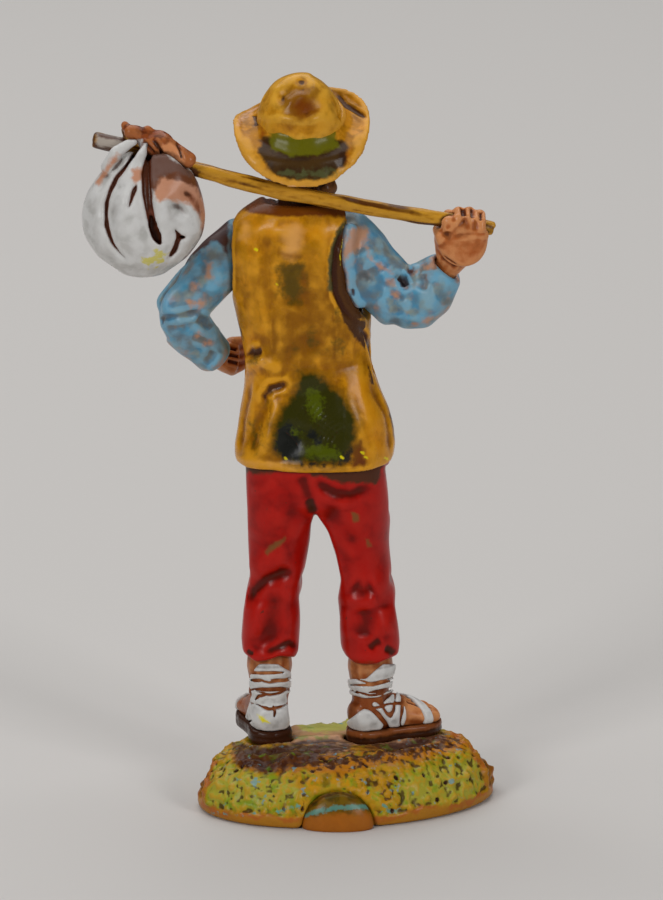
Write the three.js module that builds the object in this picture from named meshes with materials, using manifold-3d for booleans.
// A santon: a wayfarer with a hat, who carries a bundle on a staff across the shoulders.
// He stands on an oval mound of turf and faces -Y, with his left hand towards +X and +Z up.
// The origin is the middle of the mound's flat underside. Lengths are millimetres, angles degrees.
// The figure is moulded in separate parts, which seat in each other with tenons and a glue gap.
import * as THREE from "three";
import { mergeVertices } from "three/addons/utils/BufferGeometryUtils.js";
import Module from "manifold-3d";

const wasm = await Module();
wasm.setup();

// Fits
const SEAM = 0.25; // glue gap round every seated part
const TENON = 3.2; // how far one part reaches into the next

// Mound
const BASE_LENGTH = 40.8;
const BASE_WIDTH = 27.2;
const BASE_TURN = 15; // long axis against +X
const MOUND_HEIGHT = 8.4; // ground under the soles
const RIM_HEIGHT = 1.9;
const TURF_RELIEF = 0.45;
const STONE_WIDTH = 9.4;
const STONE_HEIGHT = 4.9;
const STONE_DEPTH = 3.6;

// Feet and shins
const SOLE_THICKNESS = 1.2;
const PEG_WIDTH = 1.8;
const FOOT_LENGTH = 13.4;
const FOOT_WIDTH = 5.8;
const HEEL_WIDTH = 5.3;
const INSTEP_HEIGHT = 5.4;
const ANKLE_WIDTH = 4.8;
const CALF_WIDTH = 6.0;
const LACE_THICKNESS = 0.6;
const LACE_WIDTH = 1.15;
const LACE_PITCH = 1.7;
const LACE_TURNS = 3;
const STEP_LEFT = { x: 10.3, y: -1.6, toeOut: 13 };
const STEP_RIGHT = { x: -3.2, y: -1.3, toeOut: -62 };

// Breeches
const CUFF_RISE = 10.3; // from the ground
const INSEAM = 20.9;
const CUFF_WIDTH = 7.1;
const CALF_CLOTH_WIDTH = 8.0;
const KNEE_CLOTH_WIDTH = 7.4;
const THIGH_WIDTH = 9.7;
const HIP_WIDTH = 19.2;
const HIP_DEPTH = 12.6;
const HIP_X = 4.1; // the body leans over the left foot

// Jerkin and shirt
const HEM_RISE = 7.3; // from the crotch
const JERKIN_LENGTH = 34.8;
const HEM_WIDTH = 21.2;
const WAIST_WIDTH = 16.6;
const CHEST_WIDTH = 19.2;
const NECK_OPENING = 9.6;
const HEM_DEPTH = 15.0;
const WAIST_DEPTH = 11.0;
const CHEST_DEPTH = 12.2;
const JERKIN_CLOTH = 1.25;
const FRONT_OPENING = 3.6;
const ARMHOLE_GAP = 0.95;
const SIDE_SLIT = 1.0;
const CHEST_X = 6.3;
const BODY_Y = -1.5;

// Arms
const SHOULDER_DROP = 4.4; // below the collar
const RIGHT_SHOULDER_OUT = 6.4; // from the middle of the chest
const LEFT_SHOULDER_OUT = 7.7;
const ARM_THICKNESS = 7.9;
const LEFT_ARM_THICKNESS = 6.5;
const CUFF_OPENING = 4.4;
const WRIST_WIDTH = 3.0;
const FINGER_WIDTH = 1.5;

// Head and hat
const NECK_WIDTH = 5.8;
const HEAD_WIDTH = 9.6;
const HEAD_DEPTH = 10.2;
const HEAD_HEIGHT = 12.6;
const HEAD_RISE = 8.2; // middle of the head above the collar
const HAIR_THICKNESS = 0.9;
const HAT_TILT = 22; // tipped back
const CROWN_WIDTH = 11.8;
const CROWN_HEIGHT = 7.3;
const CROWN_DENT = 0.7;
const BRIM_WIDTH = 17.8;
const BRIM_BACK = 9.6; // from the crown's middle
const BRIM_FRONT = 8.2;
const BRIM_THICKNESS = 0.9;
const BRIM_CURL = 1.1; // how far the sides turn up
const BRIM_DROOP = 3.4; // how far the back hangs down
const BRIM_SWAY = 2.1; // how far the front dips on the left and rises on the right
const BAND_HEIGHT = 2.1;
const BAND_THICKNESS = 0.55;

// Staff and bundle
const STAFF_THICKNESS = 1.9;
const STAFF_LENGTH = 53.6;
const STAFF_SLOPE = 13; // its bundle end is higher
const BRANCH_STUB = 2.0;
const BUNDLE_WIDTH = 16.2;
const BUNDLE_DEPTH = 12.0;
const BUNDLE_HEIGHT = 17.8;
const KNOT_WIDTH = 4.6;

// Levels and centres that follow from the sizes above
const soleTop = MOUND_HEIGHT + SOLE_THICKNESS;
const cuffLevel = MOUND_HEIGHT + CUFF_RISE;
const crotchLevel = cuffLevel + INSEAM;
const hemLevel = crotchLevel + HEM_RISE;
const hipLevel = hemLevel + SEAM * 2;
const collarLevel = hemLevel + JERKIN_LENGTH;
const shoulderLevel = collarLevel - SHOULDER_DROP;
const headCentre = vec(CHEST_X - 0.2, BODY_Y, collarLevel + HEAD_RISE);

// Small helpers
function vec(x, y, z) {
  return new THREE.Vector3(x, y, z);
}
const X_AXIS = vec(1, 0, 0);
const Y_AXIS = vec(0, 1, 0);
const Z_AXIS = vec(0, 0, 1);
const { degToRad, lerp } = THREE.MathUtils;

// A three.js geometry as a solid that can be joined and cut.
function solidOf(geometry) {
  const bare = geometry.index ? geometry.toNonIndexed() : geometry.clone();
  bare.deleteAttribute("normal");
  bare.deleteAttribute("uv");
  const merged = mergeVertices(bare, 1e-4);
  return new wasm.Manifold(
    new wasm.Mesh({
      numProp: 3,
      vertProperties: merged.attributes.position.array,
      triVerts: new Uint32Array(merged.index.array),
    }),
  );
}

function join(...solids) {
  return solids.reduce((whole, solid) => whole.add(solid));
}

// What is left of a solid once its neighbours' room is taken out.
function cut(solid, ...neighbours) {
  return neighbours.reduce((rest, room) => rest.subtract(room), solid);
}

// The largest connected body of a face list, so that a cut leaves no loose chips.
function mainBody(points, faces) {
  const root = points.map((_, i) => i);
  const find = (i) => {
    while (root[i] !== i) {
      root[i] = root[root[i]];
      i = root[i];
    }
    return i;
  };
  for (const [a, b, c] of faces) {
    root[find(a)] = find(b);
    root[find(b)] = find(c);
  }
  const volumes = new Map();
  for (const [a, b, c] of faces) {
    const volume = points[a].dot(points[b].clone().cross(points[c])) / 6;
    volumes.set(find(a), (volumes.get(find(a)) ?? 0) + volume);
  }
  const [largest] = [...volumes].reduce((a, b) => (a[1] > b[1] ? a : b));
  return faces.filter((face) => find(face[0]) === largest);
}

// Closes up faces thinner than a hair, which joins and cuts leave where skins cross.
function withoutSlivers(points, faces) {
  const hair = 0.1;
  const around = (v) => new Set(faces.filter((f) => f.includes(v)).flat());
  const next = (face, v) => face[(face.indexOf(v) + 1) % 3];
  const mend = (face) => {
    const sides = face.map((a) => [a, next(face, a)]);
    sides.sort(([a, b], [c, d]) => points[a].distanceTo(points[b]) - points[c].distanceTo(points[d]));
    const [a, b] = sides[0];
    if (points[a].distanceTo(points[b]) < hair) {
      const nearB = around(b);
      if ([...around(a)].filter((v) => nearB.has(v)).length !== 4) return false;
      const moved = faces.map((f) => f.map((v) => (v === b ? a : v)));
      faces = moved.filter((f) => new Set(f).size === 3);
      return true;
    }
    const [c, d] = sides[2];
    const apex = face.find((v) => v !== c && v !== d);
    const width = points[c].distanceTo(points[d]);
    const area = new THREE.Triangle(points[c], points[d], points[apex]).getArea();
    if ((2 * area) / width > hair / 10) return false;
    const other = faces.find((f) => f.includes(c) && f.includes(d) && f !== face);
    const far = other.find((v) => v !== c && v !== d);
    if (around(apex).has(far)) return false;
    faces = faces.filter((f) => f !== face && f !== other);
    faces.push([c, far, apex], [far, d, apex]);
    return true;
  };
  for (let rounds = 0; rounds < 900 && faces.some(mend); rounds++);
  return faces;
}

// A closed skin over rings of equal point count; each end closes on a middle point.
function skinOf(rings, startMiddle, endMiddle) {
  const n = rings[0].length;
  const points = [...rings.flat(), startMiddle, endMiddle];
  const faces = [];
  const start = points.length - 2;
  const end = points.length - 1;
  for (let j = 0; j < n; j++) {
    const k = (j + 1) % n;
    for (let i = 0; i + 1 < rings.length; i++) {
      const [a, b, c, d] = [i * n + j, i * n + k, (i + 1) * n + k, (i + 1) * n + j];
      faces.push(a, b, c, a, c, d);
    }
    const last = (rings.length - 1) * n;
    faces.push(start, k, j, end, last + j, last + k);
  }
  const geometry = new THREE.BufferGeometry().setFromPoints(points);
  geometry.setIndex(faces);
  return geometry;
}

// A ridge (or, where high is below 0, a furrow) between two places on a limb.
// A place is [share of the length, angle], with 0 towards the limb's wide side.
function fold(from, to, wide, high) {
  return { from, to, wide, high };
}

// How far the folds lift the skin at one place.
function reliefAt(folds, share, angle, length, radius) {
  let lift = 0;
  for (const f of folds) {
    const turn = (a) => (((a - angle + 540) % 360) - 180) * degToRad(1) * radius;
    const p = new THREE.Vector2((f.from[0] - share) * length, turn(f.from[1]));
    const q = new THREE.Vector2((f.to[0] - share) * length, turn(f.to[1]));
    const along = q.clone().sub(p);
    const t = THREE.MathUtils.clamp(-p.dot(along) / (along.lengthSq() || 1), 0, 1);
    const away = p.addScaledVector(along, t).length() / f.wide;
    lift += f.high * Math.exp(-away * away);
  }
  return lift;
}

// An oval body along a smooth line through its stations: { at, w, d } with half width and depth.
// "grow" swells it on every side, which is how a neighbour's room is cut.
function limb(stations, { sides = 18, steps = 2, wide = X_AXIS, level = false, dome = [0, 0], folds = [], square = 2, grow = 0 } = {}) {
  const line = new THREE.CatmullRomCurve3(stations.map((s) => s.at));
  const sizes = new THREE.CatmullRomCurve3(stations.map((s) => vec(s.w, s.d, 0)));
  const spans = (stations.length - 1) * steps;
  const length = line.getLength();
  const ring = (share, shift, shrink) => {
    const along = level ? Z_AXIS : line.getTangent(share);
    const a = wide.clone().addScaledVector(along, -wide.dot(along)).normalize();
    const b = along.clone().cross(a);
    const middle = line.getPoint(share).addScaledVector(along, shift);
    const size = sizes.getPoint(share);
    const radius = (size.x + size.y) / 2;
    return Array.from({ length: sides }, (_, j) => {
      const angle = (360 * j) / sides;
      const [c, s] = [Math.cos(degToRad(angle)), Math.sin(degToRad(angle))];
      const lift = grow + (folds.length ? reliefAt(folds, share, angle, length, radius) : 0);
      const x = Math.sign(c) * Math.abs(c) ** (2 / square) * (size.x + lift) * shrink;
      const y = Math.sign(s) * Math.abs(s) ** (2 / square) * (size.y + lift) * shrink;
      return middle.clone().addScaledVector(a, x).addScaledVector(b, y);
    });
  };
  const middleOf = (points) =>
    points.reduce((sum, p) => sum.add(p), vec(0, 0, 0)).divideScalar(points.length);
  const rings = [];
  const ends = dome.map((height) => (height > 0 ? height + grow : grow));
  for (const turn of dome[0] > 0 ? [62, 32] : []) {
    rings.push(ring(0, -ends[0] * Math.sin(degToRad(turn)), Math.cos(degToRad(turn))));
  }
  for (let i = 0; i <= spans; i++) {
    const shift = i === 0 && !dome[0] ? -grow : i === spans && !dome[1] ? grow : 0;
    rings.push(ring(i / spans, shift, 1));
  }
  for (const turn of dome[1] > 0 ? [32, 62] : []) {
    rings.push(ring(1, ends[1] * Math.sin(degToRad(turn)), Math.cos(degToRad(turn))));
  }
  const poles = [
    middleOf(ring(0, dome[0] ? -ends[0] : -grow, 1)),
    middleOf(ring(1, dome[1] ? ends[1] : grow, 1)),
  ];
  return solidOf(skinOf(rings, poles[0], poles[1]));
}

function at(x, y, z, w, d = w) {
  return { at: vec(x, y, z), w, d };
}

// A straight round pin between two points.
function pin(from, to, radius, { sides = 12, grow = 0, dome = [0, 0] } = {}) {
  const along = to.clone().sub(from).normalize();
  const wide = Math.abs(along.x) > 0.8 ? Y_AXIS : X_AXIS;
  const station = (p) => ({ at: p, w: radius, d: radius });
  return limb([station(from), station(to)], { sides, steps: 1, wide, grow, dome });
}

// An egg-shaped lump.
function lump(centre, rx, ry, rz, { sides = 16, grow = 0, turn = null } = {}) {
  const ball = new THREE.SphereGeometry(1, sides, Math.round(sides * 0.6));
  ball.rotateX(Math.PI / 2);
  ball.scale(rx + grow, ry + grow, rz + grow);
  if (turn) ball.applyQuaternion(turn);
  return solidOf(ball.translate(centre.x, centre.y, centre.z));
}

// A block from its middle, sizes and turn about its own middle.
function block(centre, sx, sy, sz, turn = new THREE.Quaternion()) {
  const box = new THREE.BoxGeometry(sx, sy, sz).applyQuaternion(turn);
  return solidOf(box.translate(centre.x, centre.y, centre.z));
}

// Mound: a turf heap on an oval foot, in polar steps from the ground out to the rim
function mound() {
  const around = 42;
  const profile = [
    [0.3, 1],
    [0.5, 1],
    [0.66, 0.93],
    [0.79, 0.78],
    [0.89, 0.56],
    [0.96, 0.31],
  ];
  const turn = degToRad(BASE_TURN);
  const place = (share, k, z) => {
    const angle = (2 * Math.PI * k) / around;
    const x = (Math.cos(angle) * share * BASE_LENGTH) / 2;
    const y = (Math.sin(angle) * share * BASE_WIDTH) / 2;
    return vec(x * Math.cos(turn) - y * Math.sin(turn), x * Math.sin(turn) + y * Math.cos(turn), z);
  };
  const tuft = (k, i) => Math.sin(k * 2.4 + i * 1.7) * Math.cos(k * 1.1 - i * 2.9);
  const rings = [];
  rings.push(Array.from({ length: around }, (_, k) => place(1, k, 0)));
  rings.push(Array.from({ length: around }, (_, k) => place(1, k, RIM_HEIGHT)));
  for (const [i, [share, rise]] of [...profile].reverse().entries()) {
    const relief = rise < 1 ? TURF_RELIEF : 0;
    const ring = (_, k) => {
      const z = lerp(RIM_HEIGHT, MOUND_HEIGHT, rise);
      return place(share, k, z + relief * tuft(k, i));
    };
    rings.push(Array.from({ length: around }, ring));
  }
  return solidOf(skinOf(rings, vec(0, 0, 0), vec(0, 0, MOUND_HEIGHT)));
}

// Smooth stone set in the turf's edge behind the figure
function stone(grow = 0) {
  const turn = degToRad(BASE_TURN);
  const out = BASE_WIDTH / 2 - STONE_DEPTH * 0.3;
  const middle = vec(-Math.sin(turn) * out + 4.4, Math.cos(turn) * out + 1, 0);
  const top = STONE_HEIGHT + grow;
  const egg = lump(middle, STONE_WIDTH / 2, STONE_DEPTH / 2, top, { sides: 18, grow });
  const floor = -grow;
  return egg.intersect(block(vec(middle.x, middle.y, floor + top), 40, 40, top * 2));
}

// Feet
// Directions of a foot: forward to the toes, and out to its side
function stepFrame(step) {
  const turn = degToRad(step.toeOut);
  const forward = vec(Math.sin(turn), -Math.cos(turn), 0);
  return { forward, wide: vec(-forward.y, forward.x, 0), ankle: vec(step.x, step.y, 0) };
}

// A point of a foot: "along" from the heel's back, z from the sole's top
const ANKLE_SETBACK = 3.1;
function footPoint(step, along, z) {
  const { forward, ankle } = stepFrame(step);
  return ankle.clone().addScaledVector(forward, along - ANKLE_SETBACK).setZ(soleTop + z);
}

function soleOutline(grow) {
  const heel = HEEL_WIDTH / 2 + grow + 0.2;
  const ball = FOOT_WIDTH / 2 + grow + 0.2;
  const end = FOOT_LENGTH + grow + 0.3;
  const outline = new THREE.Shape();
  outline.moveTo(0, -grow - 0.3);
  outline.splineThru([
    new THREE.Vector2(heel * 0.8, 0.7 - grow),
    new THREE.Vector2(heel, FOOT_LENGTH * 0.2),
    new THREE.Vector2(heel * 0.9, FOOT_LENGTH * 0.42),
    new THREE.Vector2(ball, FOOT_LENGTH * 0.72),
    new THREE.Vector2(ball * 0.72, FOOT_LENGTH * 0.93),
    new THREE.Vector2(0, end),
    new THREE.Vector2(-ball * 0.72, FOOT_LENGTH * 0.93),
    new THREE.Vector2(-ball, FOOT_LENGTH * 0.72),
    new THREE.Vector2(-heel * 0.9, FOOT_LENGTH * 0.42),
    new THREE.Vector2(-heel, FOOT_LENGTH * 0.2),
    new THREE.Vector2(-heel * 0.8, 0.7 - grow),
    new THREE.Vector2(0, -grow - 0.3),
  ]);
  return outline;
}

function sole(step, grow = 0) {
  const sunk = SOLE_THICKNESS * 0.45; // how deep it is pressed in the turf
  const slab = new THREE.ExtrudeGeometry(soleOutline(grow), {
    depth: SOLE_THICKNESS + sunk + 2 * grow,
    curveSegments: 2,
    bevelEnabled: false,
  });
  slab.rotateZ(Math.PI + degToRad(step.toeOut));
  const heel = footPoint(step, 0, 0);
  return solidOf(slab.translate(heel.x, heel.y, soleTop - SOLE_THICKNESS - sunk - grow));
}

// Peg that locates the foot through its sole in the mound
function footPeg(step, grow = 0) {
  const top = footPoint(step, ANKLE_SETBACK, INSTEP_HEIGHT * 0.4);
  const tip = footPoint(step, ANKLE_SETBACK, -SOLE_THICKNESS - TENON - grow);
  return pin(tip, top, PEG_WIDTH / 2, { sides: 8, grow });
}

// Bare foot and shin, with a tenon that stands up inside the breeches
function bareLeg(step, grow = 0, withToes = true) {
  const steps = withToes ? 2 : 1;
  const { forward, wide, ankle } = stepFrame(step);
  const shin = limb(
    [
      at(ankle.x, ankle.y - 0.2, soleTop + 0.6, ANKLE_WIDTH / 2),
      at(ankle.x, ankle.y, soleTop + INSTEP_HEIGHT, ANKLE_WIDTH / 2, ANKLE_WIDTH * 0.52),
      at(ankle.x, ankle.y, cuffLevel - 0.6, CALF_WIDTH / 2, CALF_WIDTH / 2),
      at(ankle.x, ankle.y, cuffLevel + TENON, CALF_WIDTH * 0.42),
    ],
    { sides: 12, steps, wide: X_AXIS, grow },
  );
  const spot = (share, z, w, h) => {
    const p = footPoint(step, FOOT_LENGTH * share, z);
    return { at: p, w, d: h };
  };
  const foot = limb(
    [
      spot(0.1, INSTEP_HEIGHT * 0.3, HEEL_WIDTH * 0.42, INSTEP_HEIGHT * 0.42),
      spot(0.3, INSTEP_HEIGHT * 0.42, HEEL_WIDTH * 0.47, INSTEP_HEIGHT * 0.52),
      spot(0.52, INSTEP_HEIGHT * 0.3, FOOT_WIDTH * 0.44, INSTEP_HEIGHT * 0.44),
      spot(0.74, INSTEP_HEIGHT * 0.17, FOOT_WIDTH * 0.5, INSTEP_HEIGHT * 0.3),
      spot(0.9, INSTEP_HEIGHT * 0.12, FOOT_WIDTH * 0.43, INSTEP_HEIGHT * 0.2),
    ],
    { sides: 12, steps: 1, wide, grow, dome: [1.2, 1.1] },
  );
  const below = soleTop - grow;
  const under = block(vec(ankle.x, ankle.y, below - 5).addScaledVector(forward, 4), 40, 40, 10);
  if (!withToes) return join(shin, foot).subtract(under);
  const toes = [-0.36, -0.12, 0.1, 0.32].map((side, i) => {
    const reach = FOOT_LENGTH * (0.99 - 0.035 * Math.abs(i - 0.6) * 2);
    const root = footPoint(step, FOOT_LENGTH * 0.8, 0.75).addScaledVector(wide, side * FOOT_WIDTH);
    const tip = footPoint(step, reach - 0.7, 0.7).addScaledVector(wide, side * FOOT_WIDTH * 0.94);
    return pin(root, tip, 0.72, { sides: 6, grow, dome: [0, 0.6] });
  });
  return join(join(shin, foot, ...toes).subtract(under), footPeg(step, grow));
}

// Laces: straps that lie on the bare leg, cut as slabs from a shell round it
function lacing(step) {
  const { forward, wide } = stepFrame(step);
  const tip = (degrees) => new THREE.Quaternion().setFromAxisAngle(wide, degToRad(degrees));
  const yaw = new THREE.Quaternion().setFromAxisAngle(Z_AXIS, degToRad(step.toeOut));
  const slab = (along, z, thick, degrees) =>
    block(footPoint(step, along, z), 12, 12, thick, tip(degrees).multiply(yaw));
  const turns = Array.from({ length: LACE_TURNS }, (_, i) =>
    slab(ANKLE_SETBACK, INSTEP_HEIGHT + (i + 0.1) * LACE_PITCH, LACE_WIDTH, i % 2 ? 6 : -5),
  );
  const top = INSTEP_HEIGHT + (LACE_TURNS - 0.5) * LACE_PITCH;
  const tab = block(footPoint(step, 0, top / 2), LACE_WIDTH * 1.5, 4, top, yaw);
  const heelCup = block(footPoint(step, 0.9, 1.6), 12, 3.4, 2.4, yaw);
  const crossing = [
    slab(FOOT_LENGTH * 0.4, INSTEP_HEIGHT * 0.34, LACE_WIDTH, -42),
    slab(FOOT_LENGTH * 0.4, INSTEP_HEIGHT * 0.42, LACE_WIDTH, 66),
  ];
  const reach = block(footPoint(step, FOOT_LENGTH * 0.3, 5), 12, FOOT_LENGTH * 0.86, 14, yaw);
  const straps = join(...turns, tab, heelCup, ...crossing).intersect(reach);
  const shell = bareLeg(step, SEAM + LACE_THICKNESS, false).intersect(straps);
  const ground = block(footPoint(step, 0, -5 + SEAM), 60, 60, 10);
  return cut(shell, bareLeg(step, SEAM, false), ground);
}

// Breeches: two legs and a seat, with the creases that pull from the crotch to the knees
function breechesLeg(step, hipX, folds, grow) {
  const x = (share) => lerp(step.x, hipX, share);
  const y = (share) => lerp(step.y, BODY_Y, share);
  const z = (share) => lerp(cuffLevel, hipLevel, share);
  const [calf, knee] = [CALF_CLOTH_WIDTH / 2, KNEE_CLOTH_WIDTH / 2];
  return limb(
    [
      at(x(0), y(0), z(0), CUFF_WIDTH / 2, CUFF_WIDTH * 0.47),
      at(x(0), y(0) - 0.1, z(0.1), calf, calf * 0.98),
      at(x(0.05), y(0) - 0.5, z(0.21), calf * 0.98, calf * 1.02),
      at(x(0.35), y(0.5) - 1, z(0.39), knee, knee * 1.14),
      at(x(0.75), y(1) - 1, z(0.57), knee * 1.07, knee * 1.2),
      at(x(0.93), y(1) - 0.4, z(0.76), THIGH_WIDTH * 0.485, THIGH_WIDTH * 0.57),
      at(hipX, BODY_Y, z(1), THIGH_WIDTH * 0.48, HIP_DEPTH * 0.46),
    ],
    { sides: 16, level: true, grow, folds },
  );
}

function breechesShape(grow = 0) {
  const spread = HIP_WIDTH * 0.25;
  const leftFolds = [
    fold([0.05, 40], [0.1, 150], 1.0, 0.45),
    fold([0.28, 50], [0.54, 140], 1.0, 0.5),
    fold([0.18, 60], [0.44, 130], 0.9, -0.6),
    fold([0.6, 70], [0.84, 150], 1.1, 0.4),
    fold([0.32, 250], [0.55, 310], 1.2, 0.5),
  ];
  const rightFolds = [
    fold([0.04, 30], [0.11, 150], 1.0, 0.45),
    fold([0.36, 60], [0.42, 140], 0.9, -0.5),
    fold([0.46, 50], [0.53, 130], 1.1, 0.45),
    fold([0.6, 30], [0.86, 80], 1.1, 0.45),
    fold([0.32, 230], [0.55, 290], 1.2, 0.5),
  ];
  const seat = limb(
    [
      at(HIP_X, BODY_Y, crotchLevel, HIP_WIDTH * 0.12, HIP_DEPTH * 0.22),
      at(HIP_X, BODY_Y, crotchLevel + 2.2, HIP_WIDTH * 0.36, HIP_DEPTH * 0.42),
      at(HIP_X, BODY_Y, hemLevel, HIP_WIDTH * 0.5, HIP_DEPTH * 0.5),
      at(HIP_X + 0.3, BODY_Y, hemLevel + TENON, HIP_WIDTH * 0.44, HIP_DEPTH * 0.44),
    ],
    { sides: 24, level: true, steps: 1, square: 2.3, grow },
  );
  return join(
    seat,
    breechesLeg(STEP_LEFT, HIP_X + spread, leftFolds, grow),
    breechesLeg(STEP_RIGHT, HIP_X - spread, rightFolds, grow),
  );
}

// Shirt: the body under the jerkin, with its tenon down in the breeches
function shirtBody(grow = 0) {
  const inside = JERKIN_CLOTH + SEAM;
  const z = (share) => lerp(hemLevel, collarLevel, share);
  return limb(
    [
      at(HIP_X + 0.3, BODY_Y, hemLevel - TENON * 0.5, HIP_WIDTH * 0.3, HIP_DEPTH * 0.28),
      at(HIP_X + 0.4, BODY_Y, z(0.08), HIP_WIDTH * 0.34, HIP_DEPTH * 0.34),
      at(lerp(HIP_X, CHEST_X, 0.4), BODY_Y, z(0.36), WAIST_WIDTH / 2 - inside, WAIST_DEPTH / 2 - inside),
      at(lerp(HIP_X, CHEST_X, 0.8), BODY_Y, z(0.62), CHEST_WIDTH * 0.47 - inside, CHEST_DEPTH * 0.49 - inside),
      at(CHEST_X, BODY_Y, z(0.84), CHEST_WIDTH / 2 - inside, CHEST_DEPTH / 2 - inside),
      at(CHEST_X, BODY_Y, z(0.94), CHEST_WIDTH * 0.41 - inside, CHEST_DEPTH * 0.44 - inside),
      at(CHEST_X, BODY_Y + 0.2, z(0.99), NECK_OPENING / 2 - 0.5, NECK_OPENING * 0.42),
    ],
    { sides: 20, level: true, steps: 1, square: 2.3, grow },
  );
}

// Jerkin: a sleeveless coat, open in front and slit at the sides
function jerkinShape(grow = 0) {
  const z = (share) => lerp(hemLevel, collarLevel, share);
  const folds = [
    fold([0.3, 35], [0.44, 75], 1.3, 0.5),
    fold([0.16, 40], [0.3, 62], 1.2, -0.55),
    fold([0.02, 38], [0.2, 44], 1.5, 0.5),
    fold([0.02, 62], [0.16, 74], 1.6, -0.45),
    fold([0.34, 110], [0.44, 150], 1.4, -0.4),
    fold([0.5, 60], [0.86, 72], 2.2, 0.35),
    fold([0.05, 130], [0.3, 126], 1.6, 0.4),
    fold([0.05, 235], [0.4, 240], 1.6, 0.4),
    fold([0.05, 305], [0.4, 300], 1.6, 0.4),
  ];
  return limb(
    [
      at(HIP_X + 0.2, BODY_Y, z(0), HEM_WIDTH * 0.49, HEM_DEPTH / 2),
      at(HIP_X + 0.1, BODY_Y, z(0.06), HEM_WIDTH * 0.5, HEM_DEPTH / 2),
      at(HIP_X + 0.2, BODY_Y, z(0.2), lerp(HEM_WIDTH, WAIST_WIDTH, 0.35) / 2, HEM_DEPTH * 0.46),
      at(lerp(HIP_X, CHEST_X, 0.4), BODY_Y, z(0.39), WAIST_WIDTH / 2, WAIST_DEPTH / 2),
      at(lerp(HIP_X, CHEST_X, 0.75), BODY_Y, z(0.6), CHEST_WIDTH * 0.47, CHEST_DEPTH * 0.49),
      at(CHEST_X, BODY_Y, z(0.8), CHEST_WIDTH / 2, CHEST_DEPTH / 2),
      at(CHEST_X, BODY_Y, z(0.93), CHEST_WIDTH * 0.46, CHEST_DEPTH * 0.46),
      at(CHEST_X, BODY_Y, z(0.985), CHEST_WIDTH * 0.35, CHEST_DEPTH * 0.4),
      at(CHEST_X, BODY_Y + 0.2, z(1.01), NECK_OPENING / 2 + 0.3, NECK_OPENING * 0.46),
    ],
    { sides: 30, level: true, square: 2.35, grow, folds },
  );
}

// The front opening, wide at the neck and again at the hem
function frontOpening() {
  const half = FRONT_OPENING / 2;
  const outline = new THREE.Shape();
  outline.moveTo(-half * 2.2, -2);
  outline.lineTo(half * 2.2, -2);
  outline.quadraticCurveTo(half * 0.8, JERKIN_LENGTH * 0.45, half, JERKIN_LENGTH * 0.6);
  outline.lineTo(half * 2.6, JERKIN_LENGTH + 2);
  outline.lineTo(-half * 2.6, JERKIN_LENGTH + 2);
  outline.lineTo(-half, JERKIN_LENGTH * 0.6);
  outline.quadraticCurveTo(-half * 0.8, JERKIN_LENGTH * 0.45, -half * 2.2, -2);
  const wedge = new THREE.ExtrudeGeometry(outline, { depth: 14, curveSegments: 4, bevelEnabled: false });
  wedge.rotateX(Math.PI / 2);
  const lean = Math.atan2(CHEST_X - HIP_X, JERKIN_LENGTH);
  wedge.rotateY(lean);
  return solidOf(wedge.translate(HIP_X, BODY_Y - 1, hemLevel));
}

// Side slits from the hem to below the armholes
function sideSlit(side) {
  const height = JERKIN_LENGTH * 0.44;
  const x = lerp(HIP_X, CHEST_X, 0.3) + (side * HEM_WIDTH) / 2;
  const outline = new THREE.Shape();
  outline.moveTo(-SIDE_SLIT, -2);
  outline.lineTo(SIDE_SLIT, -2);
  outline.lineTo(SIDE_SLIT * 0.35, height);
  outline.lineTo(-SIDE_SLIT * 0.35, height);
  const wedge = new THREE.ExtrudeGeometry(outline, { depth: 7, bevelEnabled: false });
  wedge.rotateX(Math.PI / 2).rotateZ(Math.PI / 2);
  return solidOf(wedge.translate(x - 3.5, BODY_Y - 1.2, hemLevel));
}

// Arms: each sleeve is one part, with a tenon in the shirt and a socket for the wrist
const rightShoulder = vec(CHEST_X - RIGHT_SHOULDER_OUT, BODY_Y + 0.2, shoulderLevel);
const rightElbow = rightShoulder.clone().add(vec(-7.3, 2.0, -8.8));
const rightCuff = rightElbow.clone().add(vec(-5.8, 1.2, 5.2));
const leftShoulder = vec(CHEST_X + LEFT_SHOULDER_OUT, BODY_Y - 0.9, shoulderLevel - 0.6);
const leftElbow = leftShoulder.clone().add(vec(8.5, 2.2, -9.8));
const leftCuff = leftElbow.clone().add(vec(-5.2, -4.4, -6.9));

function between(a, b, share, lift = vec(0, 0, 0)) {
  return a.clone().lerp(b, share).add(lift);
}

function sleeveStation(p, thickness, flat = 1) {
  return { at: p, w: thickness / 2, d: (thickness / 2) * flat };
}

function sleeve(shoulder, elbow, cuff, t, inward, sag, folds, grow) {
  const upper = limb(
    [
      sleeveStation(shoulder.clone().add(vec(inward * TENON, 0, 0.6)), t * 0.62),
      sleeveStation(shoulder, t * 0.88),
      sleeveStation(between(shoulder, elbow, 0.4, vec(0, 0, -sag)), t * 1.02),
      sleeveStation(elbow, t * 0.98),
    ],
    { sides: 16, wide: Y_AXIS, grow, folds, dome: [0, 1.4] },
  );
  const forearm = limb(
    [
      sleeveStation(between(elbow, shoulder, 0.06), t * 0.9),
      sleeveStation(between(elbow, cuff, 0.3, vec(0, 0, -sag * 1.6)), t * 1.0),
      sleeveStation(between(elbow, cuff, 0.72, vec(0, 0, -sag * 0.6)), t * 0.86),
      sleeveStation(cuff, CUFF_OPENING + t * 0.12),
    ],
    { sides: 16, wide: Y_AXIS, grow, dome: [1, 0] },
  );
  return join(upper, forearm);
}

function rightSleeve(grow = 0) {
  const folds = [fold([0.5, 260], [0.75, 300], 0.9, -0.4), fold([0.35, 60], [0.6, 110], 1.2, 0.35)];
  return sleeve(rightShoulder, rightElbow, rightCuff, ARM_THICKNESS, 1, 0.6, folds, grow);
}

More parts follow.
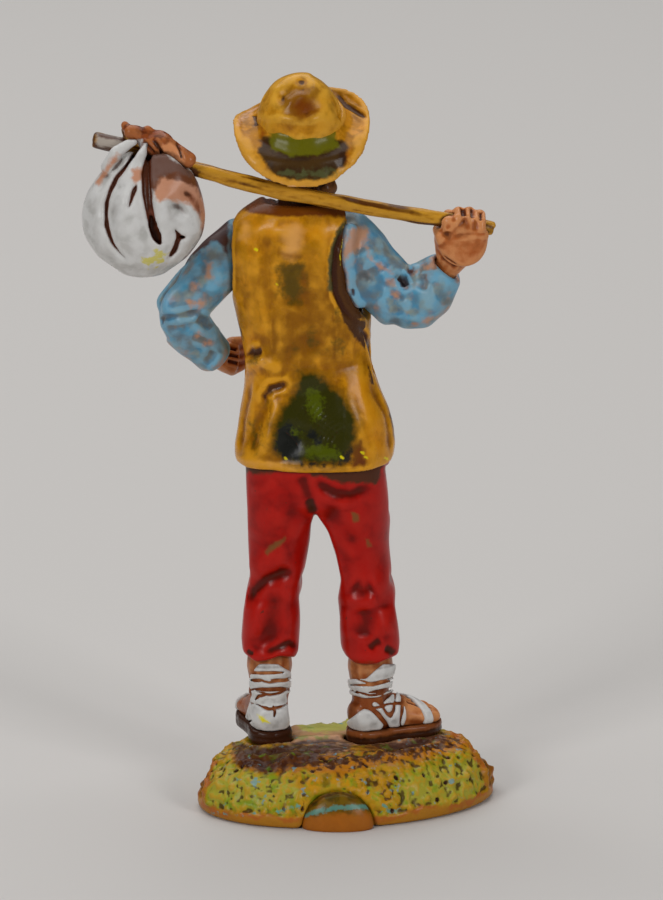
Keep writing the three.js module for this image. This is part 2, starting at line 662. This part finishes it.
function leftSleeve(grow = 0) {
  const folds = [fold([0.5, 60], [0.8, 110], 1.1, 0.3)];
  return sleeve(leftShoulder, leftElbow, leftCuff, LEFT_ARM_THICKNESS, -1, 0.1, folds, grow);
}

// Staff: a slightly crooked stick from the right fist, behind the neck, to the bundle
const staffMiddle = vec(CHEST_X - 0.2, BODY_Y + 6.3, collarLevel + 2.6);
const rise = degToRad(STAFF_SLOPE);
const staffAt = (along, bow = 0) =>
  staffMiddle.clone().add(vec(along * Math.cos(rise), -0.0016 * along * along, along * Math.sin(rise) + bow));
const staffRight = -STAFF_LENGTH * 0.485;
const staffLeft = STAFF_LENGTH * 0.515;
const FIST_ALONG = staffRight + 4.4;
const KNOT_ALONG = staffLeft - 8.4;

function staffBody(grow = 0) {
  const r = STAFF_THICKNESS / 2;
  const spot = (along, bow, swell) => ({ at: staffAt(along, bow), w: r * swell, d: r * swell });
  return limb(
    [
      spot(staffRight, 0.9, 0.92),
      spot(staffRight * 0.62, 0.55, 1.05),
      spot(staffRight * 0.22, 0.05, 0.98),
      spot(staffLeft * 0.2, -0.2, 1),
      spot(staffLeft * 0.55, 0.2, 0.94),
      spot(staffLeft * 0.82, 0.7, 1),
      spot(staffLeft, 0.75, 1.04),
    ],
    { sides: 10, steps: 3, wide: Y_AXIS, grow, square: 2.4 },
  );
}

function branchStub(grow = 0) {
  const foot = staffAt(staffLeft - 5, 0.7);
  const tip = foot.clone().add(vec(0.5, 0.1, STAFF_THICKNESS / 2 + BRANCH_STUB));
  return pin(foot, tip, STAFF_THICKNESS * 0.36, { sides: 8, grow });
}

// Right fist: palm behind the staff, four fingers bent over it and a thumb below
const fistStaff = staffAt(FIST_ALONG, 0.8);
function rightHand(grow = 0) {
  const palmTop = fistStaff.clone().add(vec(-0.5, 1.2, -0.3));
  const palm = limb(
    [
      { at: between(rightCuff, rightElbow, 0.3), w: WRIST_WIDTH * 0.5, d: WRIST_WIDTH * 0.5 },
      { at: rightCuff.clone().add(vec(-0.2, 0.2, 0.4)), w: WRIST_WIDTH * 0.5, d: WRIST_WIDTH * 0.55 },
      { at: between(rightCuff, palmTop, 0.55), w: FINGER_WIDTH * 1.0, d: FINGER_WIDTH * 2.1 },
      { at: palmTop, w: FINGER_WIDTH * 0.9, d: FINGER_WIDTH * 2.25 },
    ],
    { sides: 14, wide: Y_AXIS, grow, dome: [0, 1] },
  );
  const over = STAFF_THICKNESS / 2 + FINGER_WIDTH * 0.5;
  const fingers = [-1.5, -0.5, 0.5, 1.5].map((n) => {
    const middle = fistStaff.clone().add(vec(-0.4 + n * FINGER_WIDTH * 0.92, 0, -0.18 * n * n));
    const bend = (y, z) => ({ at: middle.clone().add(vec(0, y, z)), w: FINGER_WIDTH / 2, d: FINGER_WIDTH / 2 });
    return limb([bend(over, -0.4), bend(over * 0.8, over * 0.6), bend(-over * 0.5, over * 0.8), bend(-over, -over * 0.4)], {
      sides: 7,
      steps: 1,
      grow,
      dome: [0, 0.6],
    });
  });
  const root = fistStaff.clone().add(vec(2.6, 1.1, -1.6));
  const tip = fistStaff.clone().add(vec(2.9, -1.2, -1.1));
  const thumb = pin(root, tip, FINGER_WIDTH * 0.52, { sides: 8, grow, dome: [0.5, 0.5] });
  const web = pin(root, between(rightCuff, palmTop, 0.55), FINGER_WIDTH * 0.6, { sides: 8, grow });
  return join(palm, ...fingers, thumb, web);
}

// Left hand: set on the hip, fingers to the front
function leftHand(grow = 0) {
  const palmEnd = leftCuff.clone().add(vec(-1.9, -2.6, -0.6));
  const palm = limb(
    [
      { at: between(leftCuff, leftElbow, 0.3), w: WRIST_WIDTH * 0.46, d: WRIST_WIDTH * 0.46 },
      { at: leftCuff.clone(), w: WRIST_WIDTH * 0.46, d: WRIST_WIDTH * 0.5 },
      { at: palmEnd, w: FINGER_WIDTH * 0.9, d: FINGER_WIDTH * 1.7 },
    ],
    { sides: 12, wide: vec(1, 0, 0), grow, dome: [0, 0.6] },
  );
  const fingers = [-1.5, -0.5, 0.5, 1.5].map((n) => {
    const root = palmEnd.clone().add(vec(0.1, 0.3, n * FINGER_WIDTH * 0.85));
    const tip = root.clone().add(vec(-1.9, -2.4, -0.3 * n));
    return pin(root, tip, FINGER_WIDTH / 2, { sides: 8, grow, dome: [0, 0.5] });
  });
  return join(palm, ...fingers);
}

// Head, with its neck tenon, and hair
function headShape(grow = 0) {
  const c = headCentre;
  const z = (share) => c.z + share * HEAD_HEIGHT;
  const face = [
    fold([0.66, 235], [0.66, 305], 0.7, 0.35),
    fold([0.54, 247], [0.54, 253], 0.75, -0.5),
    fold([0.54, 287], [0.54, 293], 0.75, -0.5),
    fold([0.2, 262], [0.2, 278], 0.5, 0.35),
    fold([0.02, 266], [0.02, 274], 0.7, 0.3),
  ];
  const skull = limb(
    [
      at(c.x, c.y - HEAD_DEPTH * 0.2, z(-0.46), HEAD_WIDTH * 0.2, HEAD_DEPTH * 0.18),
      at(c.x, c.y - HEAD_DEPTH * 0.12, z(-0.34), HEAD_WIDTH * 0.34, HEAD_DEPTH * 0.33),
      at(c.x, c.y - HEAD_DEPTH * 0.03, z(-0.12), HEAD_WIDTH * 0.46, HEAD_DEPTH * 0.46),
      at(c.x, c.y, z(0.12), HEAD_WIDTH * 0.5, HEAD_DEPTH * 0.5),
      at(c.x, c.y + HEAD_DEPTH * 0.02, z(0.34), HEAD_WIDTH * 0.4, HEAD_DEPTH * 0.42),
    ],
    { sides: 24, level: true, grow, dome: [0.7, HEAD_HEIGHT * 0.16], folds: face },
  );
  const neck = pin(
    vec(c.x, c.y + 0.3, collarLevel - TENON),
    vec(c.x, c.y, c.z - HEAD_HEIGHT * 0.2),
    NECK_WIDTH / 2,
    { sides: 16, grow },
  );
  const nose = limb(
    [
      at(c.x, c.y - HEAD_DEPTH * 0.5, z(-0.13), HEAD_WIDTH * 0.1, HEAD_DEPTH * 0.09),
      at(c.x, c.y - HEAD_DEPTH * 0.51, z(-0.04), HEAD_WIDTH * 0.07, HEAD_DEPTH * 0.075),
      at(c.x, c.y - HEAD_DEPTH * 0.46, z(0.1), HEAD_WIDTH * 0.05, HEAD_DEPTH * 0.05),
    ],
    { sides: 8, steps: 1, level: true, grow, dome: [0.35, 0] },
  );
  const ears = [-1, 1].map((side) => {
    const spot = vec(c.x + side * HEAD_WIDTH * 0.47, c.y + HEAD_DEPTH * 0.06, z(-0.05));
    return lump(spot, HEAD_WIDTH * 0.08, HEAD_DEPTH * 0.1, HEAD_HEIGHT * 0.12, { sides: 10, grow });
  });
  return join(skull, neck, nose, ...ears);
}

function hairShape(grow = 0) {
  const c = headCentre;
  const z = (share) => c.z + share * HEAD_HEIGHT;
  const t = HAIR_THICKNESS + SEAM;
  return limb(
    [
      at(c.x, c.y + HEAD_DEPTH * 0.16, z(-0.36), HEAD_WIDTH * 0.34 + t, HEAD_DEPTH * 0.3 + t),
      at(c.x, c.y + HEAD_DEPTH * 0.1, z(-0.14), HEAD_WIDTH * 0.45 + t, HEAD_DEPTH * 0.4 + t),
      at(c.x, c.y + HEAD_DEPTH * 0.05, z(0.12), HEAD_WIDTH * 0.5 + t * 0.6, HEAD_DEPTH * 0.48 + t * 0.6),
      at(c.x, c.y + HEAD_DEPTH * 0.04, z(0.3), HEAD_WIDTH * 0.42 + t * 0.4, HEAD_DEPTH * 0.43 + t * 0.4),
    ],
    { sides: 16, level: true, steps: 1, grow, dome: [0.5, 0.8] },
  );
}

// Hat: built upright round its own axis, then tipped back onto the head
const hatSeat = headCentre.clone().add(vec(-0.2, 1.1, HEAD_HEIGHT * 0.19));
const hatTilt = new THREE.Matrix4()
  .makeTranslation(hatSeat.x, hatSeat.y, hatSeat.z)
  .multiply(new THREE.Matrix4().makeRotationX(-degToRad(HAT_TILT)));

const crownRadius = (height) =>
  (CROWN_WIDTH / 2) * Math.sqrt(Math.max(1 - (height / CROWN_HEIGHT) ** 2.2, 0));

function crownShape(grow = 0) {
  const foot = -BRIM_THICKNESS / 2 - grow;
  const levels = [0.02, 0.28, 0.5, 0.7, 0.84, 0.94, 0.985].map((share) => share * CROWN_HEIGHT);
  const points = [
    new THREE.Vector2(0, foot),
    new THREE.Vector2(CROWN_WIDTH / 2 + grow, foot),
    ...levels.map((height) => new THREE.Vector2(crownRadius(height) + grow, height + grow * 0.5)),
    new THREE.Vector2(0, CROWN_HEIGHT - CROWN_DENT + grow),
  ];
  const lathe = new THREE.LatheGeometry(points, 22).rotateX(Math.PI / 2);
  return solidOf(lathe.applyMatrix4(hatTilt));
}

// A closed hoop round the hat's axis: section(angle) gives its outline as [radius, height] pairs.
function hoop(section, around) {
  const faces = [];
  const points = [];
  for (let k = 0; k < around; k++) {
    const angle = (360 * k) / around;
    for (const [radius, height] of section(angle)) {
      points.push(vec(Math.cos(degToRad(angle)) * radius, Math.sin(degToRad(angle)) * radius, height));
    }
  }
  const m = points.length / around;
  for (let k = 0; k < around; k++) {
    for (let j = 0; j < m; j++) {
      const [a, b] = [k * m + j, k * m + ((j + 1) % m)];
      const next = ((k + 1) % around) * m;
      const [c, d] = [next + ((j + 1) % m), next + j];
      faces.push(a, d, c, a, c, b);
    }
  }
  const geometry = new THREE.BufferGeometry().setFromPoints(points);
  geometry.setIndex(faces);
  return solidOf(geometry.applyMatrix4(hatTilt));
}

// Brim: wide at the back, where it hangs down, with both sides curled up
function brimShape(grow = 0) {
  const half = BRIM_THICKNESS / 2 + grow;
  return hoop((angle) => {
    const [c, s] = [Math.cos(degToRad(angle)), Math.sin(degToRad(angle))];
    const reach = s > 0 ? BRIM_BACK : BRIM_FRONT;
    const square = s > 0 ? 2.5 : 2;
    const [across, along] = [Math.abs(c) / (BRIM_WIDTH / 2), Math.abs(s) / reach];
    const outer = (across ** square + along ** square) ** (-1 / square);
    const inner = CROWN_WIDTH / 2 + SEAM;
    const mid = lerp(inner, outer, 0.6);
    const droop = s > 0 ? BRIM_DROOP * s * s : 0;
    const sway = s < 0 ? BRIM_SWAY * (c > 0 ? 2 : 1) * c * s : 0;
    const lift = BRIM_CURL * c * c - droop + sway;
    return [
      [inner - grow, -half],
      [mid, lift * 0.25 - half],
      [outer, lift - half * 0.8],
      [outer + 0.25 + grow, lift],
      [outer, lift + half * 0.8],
      [mid, lift * 0.25 + half],
      [inner - grow, half],
    ];
  }, 30);
}

// Band: lies round the crown's foot, and clears the brim where its sides curl up
function bandShape() {
  const foot = BRIM_THICKNESS / 2 + SEAM;
  const top = foot + BAND_HEIGHT;
  return hoop((angle) => {
    const back = Math.max(Math.sin(degToRad(angle)), 0);
    const swell = BAND_THICKNESS * (1 + 0.3 * back);
    const outer = CROWN_WIDTH / 2 + SEAM + swell;
    return [
      [CROWN_WIDTH / 2 + SEAM, foot],
      [outer - 0.15, foot],
      [outer, foot + BAND_HEIGHT * 0.4],
      [crownRadius(top) + SEAM + swell * 0.6, top],
      [crownRadius(top) + SEAM + 0.12, top],
    ];
  }, 28);
}

// Bundle: a round sack of cloth, drawn up over the staff and tied in a knot above it
const knotCentre = staffAt(KNOT_ALONG, 0.6).add(vec(0, 1, KNOT_WIDTH * 0.42));
function bundleSack(grow = 0) {
  const foot = knotCentre.clone().add(vec(1.8, 0.2, -BUNDLE_HEIGHT));
  const z = (share) => foot.z + share * BUNDLE_HEIGHT;
  const x = (share) => lerp(foot.x, knotCentre.x, share);
  const [w, d] = [BUNDLE_WIDTH / 2, BUNDLE_DEPTH / 2];
  const folds = [
    fold([0.3, 62], [0.98, 50], 1.0, -0.8),
    fold([0.4, 98], [1, 96], 1.1, -0.9),
    fold([0.6, 78], [0.95, 76], 0.7, -0.5),
    fold([0.3, 130], [0.5, 118], 0.8, -0.5),
    fold([0.35, 30], [0.95, 30], 1.0, -0.5),
    fold([0.45, 150], [0.95, 140], 1.4, 0.5),
    fold([0.25, 215], [0.95, 240], 1.1, -0.7),
    fold([0.35, 270], [1, 270], 1.2, 0.5),
    fold([0.3, 320], [0.95, 300], 1.1, -0.7),
  ];
  return limb(
    [
      at(x(0), foot.y, z(0.06), w * 0.42, d * 0.42),
      at(x(0), foot.y, z(0.16), w * 0.72, d * 0.72),
      at(x(0), foot.y, z(0.32), w * 0.95, d * 0.95),
      at(x(0.02), foot.y, z(0.46), w, d),
      at(x(0.1), foot.y, z(0.62), w * 0.93, d * 0.95),
      at(x(0.4), foot.y - 0.2, z(0.8), w * 0.72, d * 0.74),
      at(x(0.8), foot.y - 0.2, z(0.95), w * 0.42, d * 0.46),
    ],
    { sides: 26, level: true, grow, dome: [1, 0], folds },
  );
}

function knotShape(grow = 0) {
  const c = knotCentre;
  const half = KNOT_WIDTH / 2;
  const wrap = lump(c, half, half * 0.8, half * 0.72, { sides: 14, grow });
  const spot = (x, y, z) => c.clone().add(vec(x * half, y * half, z * half));
  const options = { sides: 10, grow, dome: [0.5, 0.7] };
  const ear = pin(spot(-0.3, 0.3, 0.2), spot(-1.9, 0.6, -0.9), half * 0.46, options);
  const tuck = pin(spot(0.2, 0, 0.2), spot(1.5, 0.1, 0.7), half * 0.42, options);
  return join(wrap, ear, tuck);
}

// Each part with its finish: colour, roughness
const PAINT = {
  turf: { color: 0x8f9a3a, roughness: 0.62 },
  ochre: { color: 0xc98f1c, roughness: 0.45 },
  stone: { color: 0x9c7a24, roughness: 0.5 },
  skin: { color: 0xc07a4b, roughness: 0.5 },
  leather: { color: 0x6b3a1c, roughness: 0.5 },
  white: { color: 0xc9c7c8, roughness: 0.5 },
  red: { color: 0xa8140f, roughness: 0.32 },
  blue: { color: 0x5b98b4, roughness: 0.45 },
  hair: { color: 0x4a2a16, roughness: 0.6 },
  straw: { color: 0xcf951e, roughness: 0.45 },
  band: { color: 0x4b3a35, roughness: 0.5 },
  wood: { color: 0xa8761c, roughness: 0.5 },
};

// A named mesh whose own origin is at "home", where the part is handled from.
function part(name, solid, paint, home = vec(0, 0, 0)) {
  const made = solid.getMesh();
  const points = Array.from({ length: made.numVert }, (_, i) =>
    vec(...made.vertProperties.subarray(3 * i, 3 * i + 3)),
  );
  const faces = Array.from({ length: made.numTri }, (_, i) => [...made.triVerts.subarray(3 * i, 3 * i + 3)]);
  const sound = withoutSlivers(points, mainBody(points, faces));
  const indexed = new THREE.BufferGeometry().setFromPoints(points);
  indexed.setIndex(sound.flat());
  const geometry = indexed.translate(-home.x, -home.y, -home.z).toNonIndexed();
  geometry.computeVertexNormals();
  const mesh = new THREE.Mesh(geometry, new THREE.MeshStandardMaterial({ ...PAINT[paint], metalness: 0 }));
  mesh.name = name;
  mesh.position.copy(home);
  return mesh;
}

function group(...children) {
  return new THREE.Group().add(...children);
}

// Each joint is cut once: the part that receives a tenon gives way to it by the seam.
const shirtRoom = shirtBody(SEAM);
const sleevesRoom = join(rightSleeve(SEAM), leftSleeve(SEAM));
const armholes = join(rightSleeve(ARMHOLE_GAP), leftSleeve(ARMHOLE_GAP * 0.5));
const headRoom = headShape(SEAM);
const staffRoom = join(staffBody(SEAM), branchStub(SEAM));
const breechesRoom = breechesShape(SEAM);
const jerkinRoom = jerkinShape(SEAM);
const hatBodyRoom = join(crownShape(SEAM), brimShape(SEAM));
const bothLegs = (make) => join(make(STEP_LEFT), make(STEP_RIGHT));
const legsRoom = bothLegs((step) => bareLeg(step, SEAM, false));
const solesRoom = bothLegs((step) => sole(step, SEAM));
const pegsRoom = bothLegs((step) => footPeg(step, SEAM));
const jerkinRest = cut(jerkinShape(), shirtRoom, breechesRoom, armholes, headRoom, staffRoom);

function leg(side, step) {
  return group(
    part(`${side}_sole`, cut(sole(step), pegsRoom), "leather", footPoint(step, 0, 0)),
    part(`${side}_leg`, bareLeg(step), "skin", footPoint(step, 0, 0)),
    part(`${side}_lacing`, cut(lacing(step), breechesRoom), "white", footPoint(step, 0, 0)),
  );
}

const santon = group(
  group(
    part("base_mound", cut(mound(), stone(SEAM), solesRoom, pegsRoom), "turf"),
    part("field_stone", stone(), "stone"),
  ),
  leg("left", STEP_LEFT),
  leg("right", STEP_RIGHT),
  group(
    part("breeches", cut(breechesShape(), legsRoom, shirtRoom), "red", vec(HIP_X, BODY_Y, hipLevel)),
    part("shirt_body", cut(shirtBody(), sleevesRoom, headRoom, staffRoom), "blue", vec(CHEST_X, BODY_Y, hemLevel)),
    part("jerkin", cut(jerkinRest, frontOpening(), sideSlit(1), sideSlit(-1)), "ochre", vec(CHEST_X, BODY_Y, collarLevel)),
  ),
  group(
    part("left_sleeve", cut(leftSleeve(), leftHand(SEAM)), "blue", leftShoulder),
    part("left_hand", cut(leftHand(), jerkinRoom), "skin", leftCuff),
    part("right_sleeve", cut(rightSleeve(), rightHand(SEAM), staffRoom), "blue", rightShoulder),
    part("right_hand", cut(rightHand(), staffRoom), "skin", rightCuff),
  ),
  group(
    part("head", cut(headShape(), staffRoom), "skin", headCentre),
    part("hair", cut(hairShape(), headRoom, staffRoom, hatBodyRoom, jerkinRoom), "hair", headCentre),
    part("hat_crown", cut(crownShape(), headRoom), "straw", hatSeat),
    part("hat_brim", cut(brimShape(), headRoom, staffRoom), "straw", hatSeat),
    part("hat_band", bandShape(), "band", hatSeat),
  ),
  group(
    part("staff", join(staffBody(), branchStub()), "wood", staffMiddle),
    part("bundle_knot", cut(knotShape(), staffRoom), "skin", knotCentre),
    part("bundle_sack", cut(bundleSack(), staffRoom, knotShape(SEAM), sleevesRoom, jerkinRoom), "white", knotCentre),
  ),
);

export default santon;
